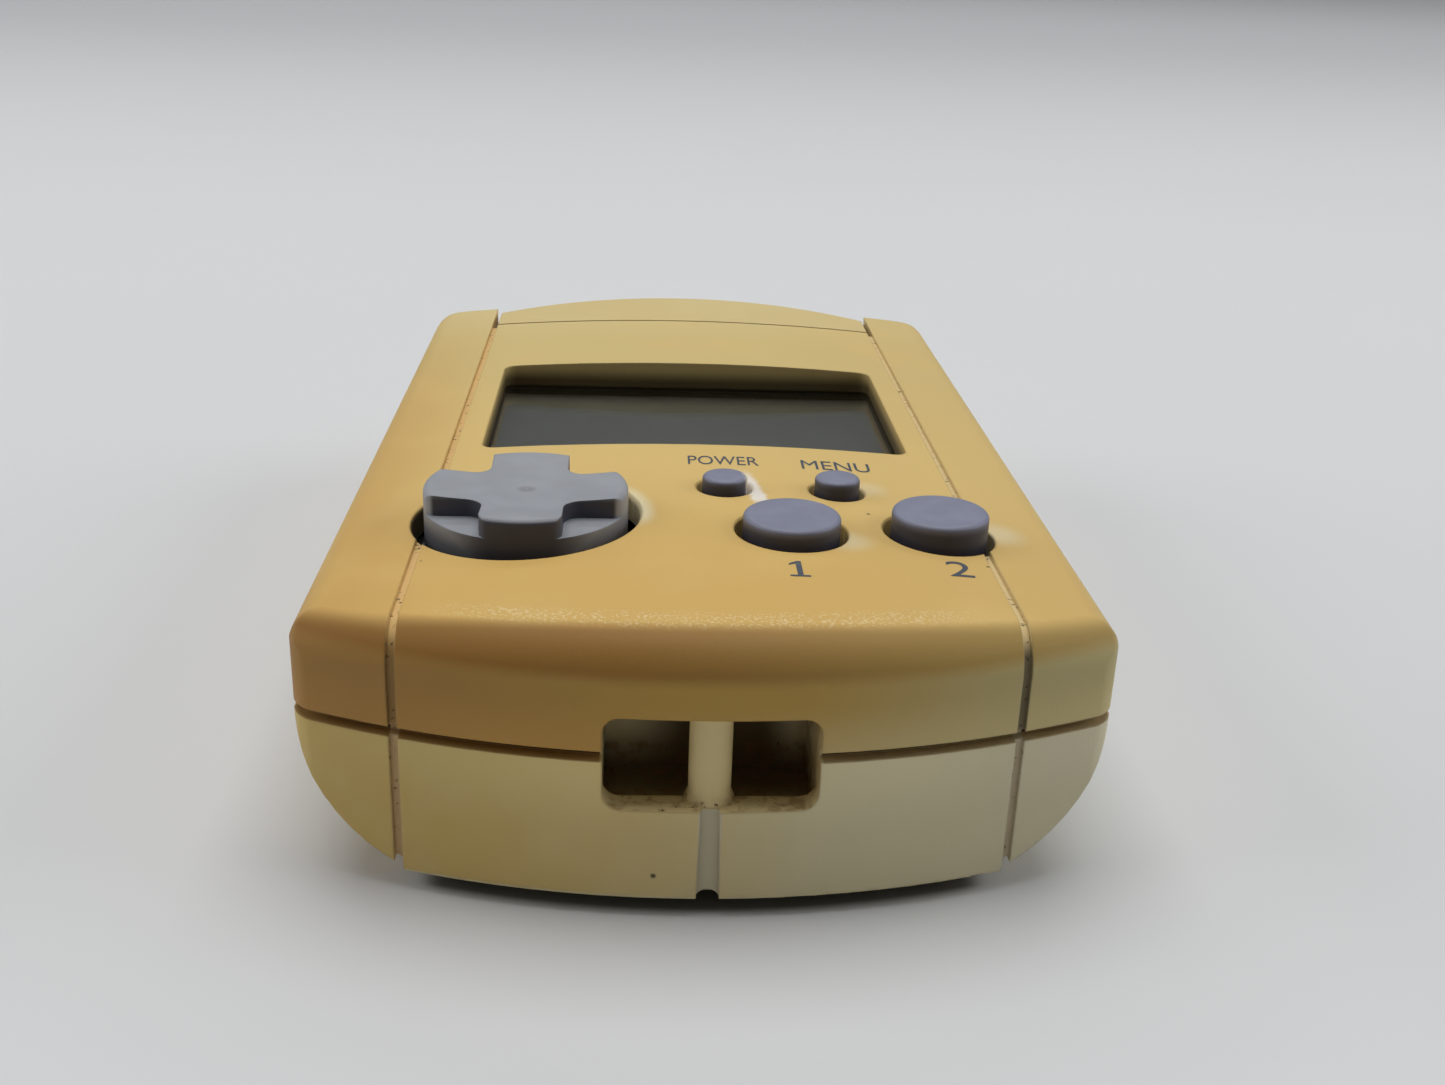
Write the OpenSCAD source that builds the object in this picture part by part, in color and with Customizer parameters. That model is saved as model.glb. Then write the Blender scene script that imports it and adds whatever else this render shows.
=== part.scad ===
// Pocket electronic toy: a small display, a direction pad, four push buttons,
// a strap post in the near end and a pull-off connector cap at the far end.
// It lies on its back with +Z up through the display and +Y towards the connector.
// The origin is under the middle of the case, on the surface that it lies on.

/* [Case] */
// Width of the case across its sides
body_w = 47; // [46:0.5:50]
// Thickness of the moulded walls
wall = 1.7; // [1.3:0.1:2]
// Radius of the crown across the front
crown_r = 205; // [160:5:300]
// Radius of the strap end seen from above
end_arc_r = 54; // [48:1:80]
// Radius of the upright corners at the strap end
corner_r = 2.5; // [2.2:0.1:3]
// Radius of the corners of the shoulders beside the cap
shoulder_r = 3.2; // [2:0.1:4]
// Radius of the front edge along the strap end
end_fillet_r = 2.7; // [2:0.1:3.5]
// Radius of the underside edge along the strap end
under_edge_r = 0.8; // [0.5:0.05:1]
// Radius of the front edge along the sides
side_fillet_r = 2; // [1.6:0.1:2.1]
// Radius of the rounded lower sides
lower_side_r = 9.65; // [8.5:0.05:10.5]
// Height of the underside panel below the rounded lower sides
panel_drop = 0.05; // [0:0.05:0.3]
// Height of the parting line between the two shells
parting_z = 9.15; // [9:0.05:9.6]
// Width of the shadow gap along the parting line
parting_gap = 0.6; // [0.3:0.05:0.8]
// Thickness of the tongue behind the shadow gap
tongue_t = 0.9; // [0.6:0.05:1.1]
// Distance of the side grooves from the middle
groove_x = 17.41; // [17:0.05:18]
// Width of the side grooves
groove_w = 0.5; // [0.3:0.05:0.7]
// Depth of the side grooves
groove_depth = 0.3; // [0.2:0.05:0.6]

/* [Connector end] */
// Distance from the display window to the cap's seam
seam_margin = 14.48; // [14:0.02:18]
// Length of the cap from its seam to its tip
cap_l = 11; // [10:0.25:13]
// Radius of the tip of the cap seen from above
cap_arc_r = 35; // [30:1:50]
// Wall of the cap
cap_wall = 1.5; // [1.2:0.1:1.8]
// Radius of the edge round the tip of the cap
cap_fillet_r = 2.2; // [1.6:0.1:3]
// Distance of the shoulders behind the tip of the cap
shoulder_setback = 4.8; // [4:0.1:6]
// Thickness of the case wall behind the cap
end_wall = 1.6; // [1.2:0.1:2]
// Length of the collar that the cap sits on
collar_l = 2.4; // [1.5:0.1:3]
// Width of the plug
plug_w = 24; // [20:0.5:24]
// Height of the plug
plug_h = 6.6; // [6:0.1:7.4]
// Reach of the plug past the cap's seam
plug_reach = 6.5; // [5:0.1:6.8]
// Wall of the plug
plug_wall = 0.9; // [0.7:0.05:1.1]
// Contacts on each face of the plug's tongue
contacts_per_face = 7; // [4:1:7]
// Distance between neighbouring contacts
contact_pitch = 2.8; // [2:0.1:3]
// Width of a contact
contact_w = 1.3; // [0.8:0.1:1.5]
// Thickness of a contact
contact_t = 0.2; // [0.1:0.05:0.3]

/* [Strap end] */
// Width of the strap recess
recess_w = 11.88; // [11:0.02:13]
// Height of the recess floor
recess_floor_z = 5.9; // [5.5:0.05:6.2]
// Height of the recess roof
recess_roof_z = 11.54; // [11:0.02:11.8]
// Depth of the recess
recess_depth = 7.5; // [6.5:0.1:7.6]
// Thickness of the lip at the mouth of the recess
recess_lip = 1.8; // [1.6:0.1:2.4]
// Drop of the recess floor behind that lip
recess_drop = 1.5; // [1:0.1:1.8]
// Radius of the recess corners
recess_r = 1; // [0.5:0.1:1.5]
// Wall round the recess
recess_wall = 1.2; // [0.8:0.1:1.3]
// Diameter of the strap post
post_d = 2.4; // [2:0.1:2.8]
// Distance of the post's axis behind the strap end
post_setback = 1.9; // [1.6:0.1:2.4]
// Width of the shallow groove under the recess at its top
tail_top_w = 1; // [0.6:0.05:1.2]
// Width of that groove at its bottom
tail_bottom_w = 1.3; // [1:0.05:1.6]
// Depth of that groove
tail_depth = 0.45; // [0.2:0.05:0.8]
// Radius of the half-round notch in the underside edge
notch_r = 0.7; // [0.5:0.05:1]

/* [Display] */
// Width of the display window
window_w = 30.6; // [29:0.1:31]
// Length of the display window
window_l = 21.49; // [20:0.01:22]
// Distance of the window's near edge from the strap end
window_from_end = 33.03; // [32.5:0.01:34]
// Radius of the window corners
window_r = 1; // [0.5:0.1:2]
// Depth of the lens below the middle of the crown
window_depth = 2.2; // [2:0.05:2.6]
// Thickness of the lens
lens_t = 0.8; // [0.5:0.05:1]
// Margin of the lens behind the window's edge
lens_margin = 1.5; // [1:0.1:1.7]
// Thickness of the liquid crystal panel
lcd_t = 1.6; // [1.2:0.1:1.8]
// Width of the display frame's side walls
lcd_frame_wall = 0.9; // [0.7:0.05:1]
// Thickness of the display frame's front rim
lcd_rim_t = 0.5; // [0.3:0.05:0.7]
// Height of the rubber contact strips under the panel
strip_h = 1.6; // [1.4:0.1:2]
// Width of the rubber contact strips under the panel
strip_w = 1.6; // [1.2:0.1:2]

/* [Direction pad] */
// Distance of the pad's centre left of the middle
pad_left = 11.15; // [11:0.05:12]
// Distance of the pad's centre from the strap end
pad_from_end = 19.4; // [18.5:0.1:20]
// Diameter of the pad
pad_d = 12.8; // [12.4:0.1:13]
// Diameter of the pad's hole
pad_hole_d = 14.3; // [14.2:0.1:15]
// Rise of the cross above the middle of the front
pad_rise = 1.75; // [1.2:0.05:2.2]
// Rise of the ledges between its arms
pad_ledge_rise = 0.45; // [0:0.05:0.6]
// Width of the arms
pad_arm_w = 4.95; // [4.4:0.05:5.6]
// Radius in the corners between the arms
pad_corner_r = 1.1; // [0.4:0.1:1.2]
// Radius of the pad's top edges
pad_edge_r = 0.4; // [0.3:0.05:0.7]
// Radius of the outer corners of the arms
pad_tip_r = 0.9; // [0.5:0.1:1.2]
// Radius of the shallow dish in the top
pad_dish_r = 50; // [45:1:100]
// Tilt of the pad in each direction, in degrees
pad_tilt = 4; // [3:0.5:4.5]
// Radius of the rounded lip round the pad's hole
pad_lip_r = 0.7; // [0.4:0.05:0.9]

/* [Buttons] */
// Diameter of the two action buttons
action_d = 6.1; // [5.6:0.1:6.4]
// Diameter of their holes
action_hole_d = 7.1; // [6.9:0.1:7.4]
// Rise of their tops above the middle of the front
action_rise = 1; // [0.6:0.05:1.6]
// Distance of the left action button right of the middle
action_left_x = 5.4; // [5.2:0.1:5.6]
// Distance between the two action buttons
action_pitch = 9.45; // [9.1:0.05:9.5]
// Distance of the left action button from the strap end
action_from_end = 16.75; // [16.5:0.05:17.2]
// Distance by which the right action button stands further from the strap end
action_stagger = 0.95; // [0:0.05:1.2]
// Diameter of the two small buttons
small_d = 3; // [2.6:0.1:3.2]
// Diameter of their holes
small_hole_d = 3.7; // [3.6:0.1:4]
// Rise of their tops above the middle of the front
small_rise = 0.85; // [0.4:0.05:1]
// Distance of the left small button right of the middle
small_left_x = 1.6; // [1.2:0.1:1.9]
// Distance between the two small buttons
small_pitch = 7.5; // [7:0.1:8]
// Distance of the small buttons from the strap end
small_from_end = 24.25; // [23.8:0.05:24.8]
// Travel of a button
press_travel = 0.7; // [0.4:0.05:0.8]
// Radius of the top edges of the buttons
button_edge_r = 0.3; // [0.2:0.05:0.6]
// Radius of the rounded lips round the button holes
button_lip_r = 0.4; // [0.2:0.05:0.5]
// Thickness of the collars that keep the controls in the case
collar_t = 0.9; // [0.6:0.05:1]
// Reach of those collars past their holes
collar_reach = 0.8; // [0.6:0.05:0.9]

/* [Board and membranes] */
// Height of the underside of the circuit board
board_z = 8.2; // [8:0.05:8.4]
// Thickness of the circuit board
board_t = 1; // [0.8:0.1:1.1]
// Gap between the circuit board and the side walls of the case
board_side_gap = 1.6; // [1.3:0.1:2]
// Thickness of the rubber membranes
membrane_t = 0.6; // [0.4:0.05:0.7]
// Height of the rubber domes above the board
dome_h = 2.2; // [2:0.05:2.3]
// Thickness of a carbon contact
carbon_t = 0.5; // [0.3:0.05:0.6]
// Distance of the pad's domes from its centre
pad_dome_r = 4.6; // [4.4:0.1:4.7]
// Side of the controller chip
chip_w = 9; // [7:0.5:10]
// Thickness of the controller chip
chip_t = 1.2; // [0.9:0.1:1.6]
// Diameter of the crystal's can
crystal_d = 2; // [1.6:0.1:2.2]
// Length of the crystal's can
crystal_l = 6; // [5:0.1:7]
// Diameter of the pivot ball under the pad
pivot_d = 2.8; // [2.2:0.1:3]

/* [Battery] */
// Diameter of a coin cell
cell_d = 20; // [19:0.1:20]
// Thickness of a coin cell
cell_t = 3.2; // [2.5:0.1:3.4]
// Distance of each cell's centre from the middle line
cell_dx = 5.2; // [5:0.1:5.6]
// Distance of the near cell's centre from the strap end
cell_from_end = 20; // [19.8:0.1:21]
// Distance between the rims of the two cells
cell_gap = 1.8; // [1.6:0.1:2.2]
// Wall of the cell wells
well_wall = 1; // [0.8:0.1:1]
// Thickness of the battery cover
cover_t = 1.4; // [1.2:0.1:1.6]
// Thickness of the plate that the cover closes against
cover_plate_t = 0.8; // [0.6:0.1:1]
// Margin of the cover past the cells
cover_margin = 1.2; // [1:0.05:1.2]
// Thickness of the sheet metal battery contacts
clip_t = 0.2; // [0.15:0.05:0.3]
// Width of the battery contacts
clip_w = 4; // [3:0.1:5]

/* [Fasteners and buzzer] */
// Diameter of the case screws
screw_d = 2; // [1.6:0.1:2.2]
// Diameter of their heads
screw_head_d = 3.6; // [3:0.1:3.8]
// Height of their heads
screw_head_h = 1.4; // [1:0.1:1.6]
// Depth of the wells that the case screws sit in
screw_well_depth = 3.6; // [3:0.1:4]
// Distance of the near screws from the middle line
near_screw_x = 13.5; // [12.5:0.1:14]
// Distance of the near screws from the strap end
near_screw_from_end = 6.5; // [6:0.1:6.6]
// Distance of the far screws from the middle line
far_screw_x = 14; // [13.9:0.1:14.6]
// Distance of the far screws from the cap's seam
far_screw_from_seam = 5.2; // [5:0.1:5.4]
// Diameter of the case screw bosses
boss_d = 5.8; // [5.6:0.1:5.8]
// Diameter of the two board screws
board_screw_d = 1.4; // [1.2:0.1:1.6]
// Diameter of the battery cover's screw
cover_screw_d = 1.8; // [1.5:0.1:2]
// Diameter of the buzzer
buzzer_d = 13; // [11:0.1:13]
// Thickness of the buzzer's plate
buzzer_t = 0.35; // [0.2:0.05:0.5]
// Gap between the buzzer and the wall behind the cap
buzzer_margin = 1; // [0.4:0.1:1]
// Thickness of the buzzer's foam ring
buzzer_pad_t = 0.5; // [0.3:0.05:0.8]

/* [Clearances] */
// Gap between pieces that move and what they rest against
rest_gap = 0.15; // [0.1:0.01:0.2]
// Gap round the cap and between the cap and its collar
cap_fit = 0.3; // [0.2:0.05:0.35]
// Gap round the battery cover
cover_fit = 0.2; // [0.1:0.05:0.3]
// Gap round pieces that are slipped into place
slip_fit = 0.05; // [0.03:0.01:0.1]
// Gap round a coin cell in its well
cell_fit = 0.3; // [0.2:0.05:0.4]
// Gap round a screw in a hole that it passes through
screw_fit = 0.2; // [0.1:0.05:0.3]

/* [Hidden] */
$fn = 64;
over = 1;
// Small steps by which rounded surfaces overrun their neighbours, to meet them at an angle
edge_proud = 0.02;
lip_proud = 0.05;
// Smallest rounding left on a drawn-in surface, and the points along the section's arcs
least_r = 0.2;
lower_steps = 10;
fillet_steps = 6;
crown_steps = 8;

// Distances from the strap end. The case is long enough for the display, and for the
// battery cover with the buzzer beyond it.
cell_step = sqrt(pow(cell_d + cell_gap, 2) - pow(2 * cell_dx, 2));
cover_end = cell_from_end + cell_step + cell_d / 2 + cover_margin;
buzzer_end = cover_end + cover_margin + buzzer_d + 2 * buzzer_margin;
seam_from_end = max(window_from_end + window_l + seam_margin, buzzer_end + end_wall);
body_l = seam_from_end + cap_l;

// The case is as high as the stack under its window, from the board up to the lens
board_top_z = board_z + board_t;
body_h = board_top_z + strip_h + lcd_t + lcd_rim_t + lens_t + 2 * slip_fit + window_depth;

// Stations along the case
near_y = -body_l / 2;
tip_y = body_l / 2;
seam_y = tip_y - cap_l;
shoulder_y = tip_y - shoulder_setback;
cavity_far_y = seam_y - end_wall;
end_arc_y = near_y + end_arc_r;

// Lower sides and parting line
lower_side_z = lower_side_r + panel_drop;
lower_side_x = body_w / 2 - lower_side_r;
rear_top_z = parting_z - parting_gap / 2;
front_bottom_z = parting_z + parting_gap / 2;
cap_half_w = groove_x - groove_w / 2;
shoulder_x = groove_x + groove_w / 2;

// Height of the front, or of a surface sunk below it, at a distance from the middle
function crown_z(x, sunk = 0) = body_h - crown_r + sqrt(pow(crown_r - sunk, 2) - x * x);

// Strap end
recess_back_y = near_y + recess_depth;
post_y = near_y + post_setback;
recess_mid_z = (recess_floor_z + recess_roof_z) / 2;
recess_sunk_z = recess_floor_z - recess_drop;

// Display stack, from the lens down to the board
window_y = near_y + window_from_end + window_l / 2;
lens_seat_z = body_h - window_depth;
lens_w = window_w + 2 * lens_margin;
lens_l = window_l + 2 * lens_margin;
lens_bottom_z = lens_seat_z - lens_t;
lcd_frame_top_z = lens_bottom_z - slip_fit;
lcd_top_z = lcd_frame_top_z - lcd_rim_t - slip_fit;
lcd_bottom_z = lcd_top_z - lcd_t;
lcd_frame_w = lens_w + 2 * lcd_frame_wall;
lcd_frame_l = lens_l + 2 * lcd_frame_wall;
lcd_w = lens_w - 2 * slip_fit;
lcd_l = lens_l - 2 * slip_fit;

// Board and membranes. The rubber over a contact is thicker than a key's travel,
// so that a pressed key stays clear of the contact.
board_w = body_w - 2 * (wall + board_side_gap);
dome_top_z = board_top_z + dome_h;
dome_roof_z = dome_top_z - press_travel - rest_gap;
control_bottom_z = dome_top_z + rest_gap;
board_near_y = near_y + near_screw_from_end + boss_d / 2 + rest_gap;
far_screw_y = seam_y - far_screw_from_seam;
near_screw_y = near_y + near_screw_from_end;
board_far_y = far_screw_y - boss_d / 2 - rest_gap;
boss_places = [
    [-near_screw_x, near_screw_y],
    [near_screw_x, near_screw_y],
    [-far_screw_x, far_screw_y],
    [far_screw_x, far_screw_y]
];
action_dome_r = 2.6;
small_dome_r = 1.7;
sheet_margin = 0.6;
action_y = near_y + action_from_end;
membrane_near_y = action_y - action_dome_r - sheet_margin;
board_screw_head_r = 1.4;
screw_tip_gap = 0.6;
screw_tip_z = crown_z(far_screw_x + boss_d / 2, wall) - screw_tip_gap;
post_r = 1.5;
post_inset = 1.6;
board_post_x = board_w / 2 - post_inset;
board_post_near_y =
    min(board_near_y + post_inset, membrane_near_y - board_screw_head_r - rest_gap);
board_post_far_y = board_far_y - post_inset;
board_screw_places = [[-board_post_x, board_post_near_y], [board_post_x, board_post_near_y]];
board_post_places = concat(
    board_screw_places,
    [[-board_post_x, board_post_far_y], [board_post_x, board_post_far_y]]
);
board_screw_head_h = 0.8;
board_screw_depth = 3;

// Direction pad
pad_x = -pad_left;
pad_top_z = body_h + pad_rise;
pad_ledge_z = body_h + pad_ledge_rise;
pad_y = near_y + pad_from_end;
pad_collar_r = pad_hole_d / 2 + collar_reach;
pad_collar_top_z =
    crown_z(pad_left + pad_collar_r, wall) - pad_collar_r * sin(pad_tilt) - rest_gap;
pad_sheet_r = pad_d / 2 + collar_reach;
pad_dome_base_r = 1.9;
pad_dome_places = [for (a = [0:90:270]) [pad_x + pad_dome_r * cos(a), pad_y + pad_dome_r * sin(a)]];
pad_dimple_r = 0.45;
pivot_room = 0.6;

// Buttons and the domes under them
action_top_z = body_h + action_rise;
small_top_z = body_h + small_rise;
small_y = near_y + small_from_end;
action_right_x = action_left_x + action_pitch;
action_right_y = action_y + action_stagger;
small_right_x = small_left_x + small_pitch;
dome_wall = 0.6;
dome_taper = 0.6;
button_dome_places = [
    [[action_left_x, action_y], action_dome_r],
    [[action_right_x, action_right_y], action_dome_r],
    [[small_left_x, small_y], small_dome_r],
    [[small_right_x, small_y], small_dome_r]
];

// Plug, in line with the board
plug_z = board_z + board_t / 2;
plug_heel = 0.4;
plug_inner_y = cavity_far_y - plug_heel;
plug_tip_y = seam_y + plug_reach;
plug_back_t = 2;
tongue_tip_y = plug_tip_y - plug_wall;
tongue_side_gap = 0.5;
tongue_w = plug_w - 2 * (plug_wall + tongue_side_gap);
contact_tail = 3.5;

// Battery compartment
cell_r = cell_d / 2;
cell_z = cover_t + rest_gap;
near_cell = [-cell_dx, near_y + cell_from_end];
far_cell = [cell_dx, near_cell[1] + cell_step];
cells = [near_cell, far_cell];
well_r = cell_r + cell_fit;
well_rise = 1;
well_top_z = cell_z + cell_t + well_rise;
cover_half_w = cell_dx + cell_r + cover_margin;
cover_near_y = near_cell[1] - cell_r - cover_margin;
cover_far_y = near_y + cover_end;
plate_top_z = cover_t + cover_plate_t;
cover_screw_inset = 4.6;
cover_screw_place = [-cover_half_w + cover_screw_inset, cover_far_y - cover_screw_inset];
cover_screw_head_r = cover_screw_d;
cover_screw_head_h = 0.8;
cover_screw_l = 5.2;
cover_boss_wall = 1.2;
cover_boss_r = cover_screw_d / 2 + screw_fit + cover_boss_wall;
cover_boss_top_z = cover_screw_l + cover_boss_wall;
clip_top_z = cell_z + cell_t + clip_t;
clip_leg_w = 1.2;

// Buzzer on the floor between the battery cover and the end wall
floor_z = wall;
buzzer_y = cavity_far_y - buzzer_margin - buzzer_d / 2;
buzzer_z = floor_z + buzzer_pad_t;
buzzer_hole_r = 0.6;
buzzer_hole_pitch = 2.2;

// What a rounding of radius r takes off a corner. The wedge's first point is its centre.
module corner_cut(wedge, r) {
    difference() {
        polygon(wedge);
        translate(wedge[0])
            circle(r);
    }
}

// Flat rectangle with rounded corners about the origin
module rounded_rect(w, l, r) {
    square([w - 2 * r, l], center = true);
    square([w, l - 2 * r], center = true);
    for (sx = [-1, 1], sy = [-1, 1])
        translate([sx * (w / 2 - r), sy * (l / 2 - r)])
            circle(r);
}

// Centre of the right-hand corner at the strap end, drawn in by inset
function near_corner(inset) =
    let (
        r = max(corner_r - inset, least_r),
        x = body_w / 2 - inset + edge_proud - r
    )
    [x, end_arc_y - sqrt(pow(end_arc_r - inset + edge_proud - r, 2) - x * x)];

// Four points from that centre out past the corner, around what its rounding may cut away
function near_wedge(inset) =
    let (
        c = near_corner(inset),
        away = c - [0, end_arc_y],
        out = c + (corner_r + over) * away / norm(away),
        side_x = body_w / 2 + over
    )
    [c, out, [side_x, out[1] - over], [side_x, c[1]]];

// Outline of the case from above, drawn in by inset. Its sides and corners stand
// proud by edge_proud, so that each meets its neighbour at an angle.
module plan(inset) {
    half_w = body_w / 2 - inset + edge_proud;
    arc_r = end_arc_r - inset;
    far_r = max(shoulder_r - inset, least_r);
    far_c = [half_w - far_r, shoulder_y - inset - far_r];
    difference() {
        intersection() {
            translate([0, end_arc_y])
                circle(arc_r);
            translate([-half_w, near_y - over])
                square([2 * half_w, shoulder_y - inset - near_y + over]);
        }
        for (side = [0, 1])
            mirror([side, 0]) {
                corner_cut(near_wedge(inset), max(corner_r - inset, least_r));
                corner_cut(
                    [
                        far_c, [half_w + over, far_c[1]], [half_w + over, far_c[1] + far_r + over],
                        [far_c[0], far_c[1] + far_r + over]
                    ],
                    far_r
                );
            }
    }
}

// Points on an arc about c, from one angle to another
function arc(c, r, a0, a1, steps) =
    [for (i = [0:steps]) c + r * [cos(a0 + (a1 - a0) * i / steps), sin(a0 + (a1 - a0) * i / steps)]];

// Height of the centre of a rounding of radius r that touches the crown, drawn in by inset
function fillet_z(x, r, inset) = body_h - crown_r + sqrt(pow(crown_r - inset - r, 2) - x * x);

// Right half of the case's cross-section, drawn in by inset, from the panel up to the crown
function section_half(inset) =
    let (
        half_w = body_w / 2 - inset,
        panel_x = cap_half_w - inset,
        low_r = lower_side_r - inset,
        crown_c = [0, body_h - crown_r],
        top_r = max(side_fillet_r - inset, least_r),
        top_x = half_w - top_r,
        top_c = [top_x, fillet_z(top_x, top_r, inset)],
        top_a = acos(top_x / (crown_r - inset - top_r))
    )
    concat(
        [[panel_x, inset]],
        arc([lower_side_x, lower_side_z], low_r, -acos((panel_x - lower_side_x) / low_r), 0,
            lower_steps),
        arc(top_c, top_r, 0, top_a, fillet_steps),
        arc(crown_c, crown_r - inset, top_a + (90 - top_a) / crown_steps, 90, crown_steps - 1)
    );

// Whole cross-section, with height along the second axis
module section(inset) {
    half = section_half(inset);
    last = len(half) - 1;
    polygon(concat(half, [for (i = [last - 1:-1:0]) [-half[i][0], half[i][1]]]));
}

// The section carried along the whole case
module section_bar(inset) {
    translate([0, body_l, 0])
        rotate([90, 0, 0])
            linear_extrude(2 * body_l)
                section(inset);
}

// Fall of an arc of radius r at a distance from its middle
function fall(r, x) = r - sqrt(r * r - x * x);

// What the rounding takes off the front edge of a curved end, drawn in by inset, for an end
// that faces -Y with the middle of its edge at the origin. The rounding's centre line follows
// both the end's arc and the crown, so it is close to a circle that leans back, and the rounding
// turns about that circle's axis. It overruns its neighbours by edge_proud, so that it meets
// them at an angle.
module end_rounding(arc_r, half_w, edge_r, inset) {
    r = max(edge_r - inset, least_r);
    back = fall(arc_r - inset - r, half_w - inset);
    down = fall(crown_r - inset - r, half_w - inset);
    lean = atan(down / back);
    chord = sqrt(back * back + down * down);
    ring_r = (chord * chord + pow(half_w - inset, 2)) / (2 * chord);
    translate([0, r + ring_r * cos(lean), -r - ring_r * sin(lean)])
        rotate([-lean, 0, 0])
            rotate_extrude()
                translate([ring_r, 0])
                    rotate(-lean)
                        translate([edge_proud, edge_proud])
                            difference() {
                                square(r + over);
                                circle(r);
                            }
}

// Both shells of the case as one solid, drawn in by inset
module envelope(inset) {
    difference() {
        intersection() {
            translate([0, 0, -over])
                linear_extrude(body_h + 2 * over)
                    plan(inset);
            section_bar(inset);
        }
        translate([0, near_y + inset, body_h - inset])
            end_rounding(end_arc_r, body_w / 2, end_fillet_r, inset);
    }
}

// What carries the rounding of the side edges on around the two corners at the strap end
module corner_roundings() {
    c = near_corner(0);
    fillet_x = body_w / 2 - side_fillet_r;
    for (side = [0, 1])
        mirror([side, 0])
            intersection() {
                linear_extrude(2 * body_h)
                    polygon(near_wedge(0));
                translate([c[0], c[1], fillet_z(fillet_x, side_fillet_r, 0)])
                    rotate_extrude()
                        translate([corner_r - side_fillet_r + edge_proud, edge_proud])
                            difference() {
                                square(side_fillet_r + over);
                                circle(side_fillet_r);
                            }
            }
}

// What rounds off the underside edge along the strap end
module underside_rounding() {
    translate([0, end_arc_y])
        rotate_extrude()
            translate([end_arc_r + edge_proud - under_edge_r, under_edge_r - edge_proud])
                difference() {
                    translate([0, -under_edge_r - over])
                        square(under_edge_r + over);
                    circle(under_edge_r);
                }
}

// Slabs where the two side grooves run
module groove_slabs() {
    for (side = [-1, 1])
        translate([side * groove_x - groove_w / 2, near_y - over, -over])
            cube([groove_w, body_l + 2 * over, body_h + 3 * over]);
}

// Space between the shoulders that the cap and the plug take
module cap_space() {
    translate([-shoulder_x, seam_y, -over])
        cube([2 * shoulder_x, body_l, body_h + 3 * over]);
}

// Outside of the case with its side grooves
module grooved_body() {
    difference() {
        envelope(0);
        difference() {
            groove_slabs();
            envelope(groove_depth);
        }
        cap_space();
        corner_roundings();
        underside_rounding();
    }
}

// Hollow of the case, which ends at the wall behind the cap
module cavity(inset) {
    intersection() {
        envelope(inset);
        translate([-body_w, near_y - over, -over])
            cube([2 * body_w, cavity_far_y + wall - inset - near_y + over, body_h + 2 * over]);
    }
}

// Everything above or below a height
module above(z) {
    translate([-body_w, -body_l, z])
        cube([2 * body_w, 2 * body_l, 2 * body_h]);
}

module below(z) {
    translate([-body_w, -body_l, z - 2 * body_h])
        cube([2 * body_w, 2 * body_l, 2 * body_h]);
}

// Upright cylinder between two heights
module rod(place, r, z0, z1) {
    translate([place[0], place[1], z0])
        cylinder(r = r, h = z1 - z0);
}

// Block about a place in the plan, between two heights
module slab(place, w, l, z0, z1) {
    translate([place[0] - w / 2, place[1] - l / 2, z0])
        cube([w, l, z1 - z0]);
}

// Strap recess with its sunk floor, grown by a margin on every side but its mouth
module recess(grow) {
    translate([0, recess_back_y + grow, recess_mid_z])
        rotate([90, 0, 0])
            linear_extrude(recess_depth + grow + over)
                rounded_rect(
                    recess_w + 2 * grow, recess_roof_z - recess_floor_z + 2 * grow, recess_r + grow
                );
    slab(
        [0, (near_y + recess_lip + recess_back_y) / 2], recess_w + 2 * grow - 2 * edge_proud,
        recess_depth - recess_lip + 2 * grow - 2 * edge_proud, recess_sunk_z - grow, recess_mid_z
    );
}

// Passage of the plug through the end wall
module plug_passage() {
    slab(
        [0, cavity_far_y + end_wall / 2], plug_w + 2 * slip_fit, end_wall + 2 * over,
        plug_z - plug_h / 2 - slip_fit, plug_z + plug_h / 2 + slip_fit
    );
}

// Round hole through the front with a rounded lip that follows the crown.
// The lip's rounding stands proud by lip_proud, so that it cuts its neighbours at an angle.
module control_hole(x, y, hole_r, lip_r) {
    rod([x, y], hole_r, lens_bottom_z - over, body_h + over);
    translate([x, y, crown_z(x)])
        rotate([0, asin(x / crown_r), 0])
            rotate_extrude()
                difference() {
                    translate([0, lip_proud - lip_r])
                        square([hole_r + lip_r - lip_proud, lip_r + over]);
                    translate([hole_r + lip_r - lip_proud, lip_proud - lip_r])
                        circle(lip_r);
                }
}

// Rear shell: rounded lower sides, the lower half of the strap recess with its post,
// the cell wells, the screw bosses and the posts that carry the board
module rear_case() {
    color("#CBBE8F")
        difference() {
            union() {
                difference() {
                    union() {
                        intersection() {
                            grooved_body();
                            below(rear_top_z);
                        }
                        intersection() {
                            cavity(wall - tongue_t);
                            above(rear_top_z - over);
                            below(front_bottom_z);
                        }
                    }
                    cavity(wall);
                }
                intersection() {
                    cavity(wall / 2);
                    rear_fittings();
                }
            }
            recess(0);
            plug_passage();
            cap_space();
            cover_recess();
            for (cell = cells)
                rod(cell, well_r, 0, well_top_z + over);
            for (cell = cells)
                slab(cell + [0, clip_side(cell) * well_r], clip_w + 2 * slip_fit, 2 * well_wall + over,
                    plate_top_z, body_h);
            for (place = boss_places) {
                rod(place, screw_head_d / 2 + screw_fit, -over, screw_well_depth);
                rod(place, screw_d / 2 + screw_fit, 0, body_h);
            }
            for (place = board_screw_places)
                rod(place, board_screw_d / 2 + slip_fit, board_z - board_screw_depth - over, body_h);
            rod(cover_screw_place, cover_screw_d / 2 + screw_fit, 0, cover_screw_l + screw_fit);
            for (i = [-1:1])
                rod([i * buzzer_hole_pitch, buzzer_y], buzzer_hole_r, -over, floor_z + over);
            tail_groove();
        }
    color("#CBBE8F")
        strap_post();
}

// Side of a cell, towards its own end of the case, on which its rim contact stands
function clip_side(cell) = cell[1] == near_cell[1] ? -1 : 1;

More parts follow.
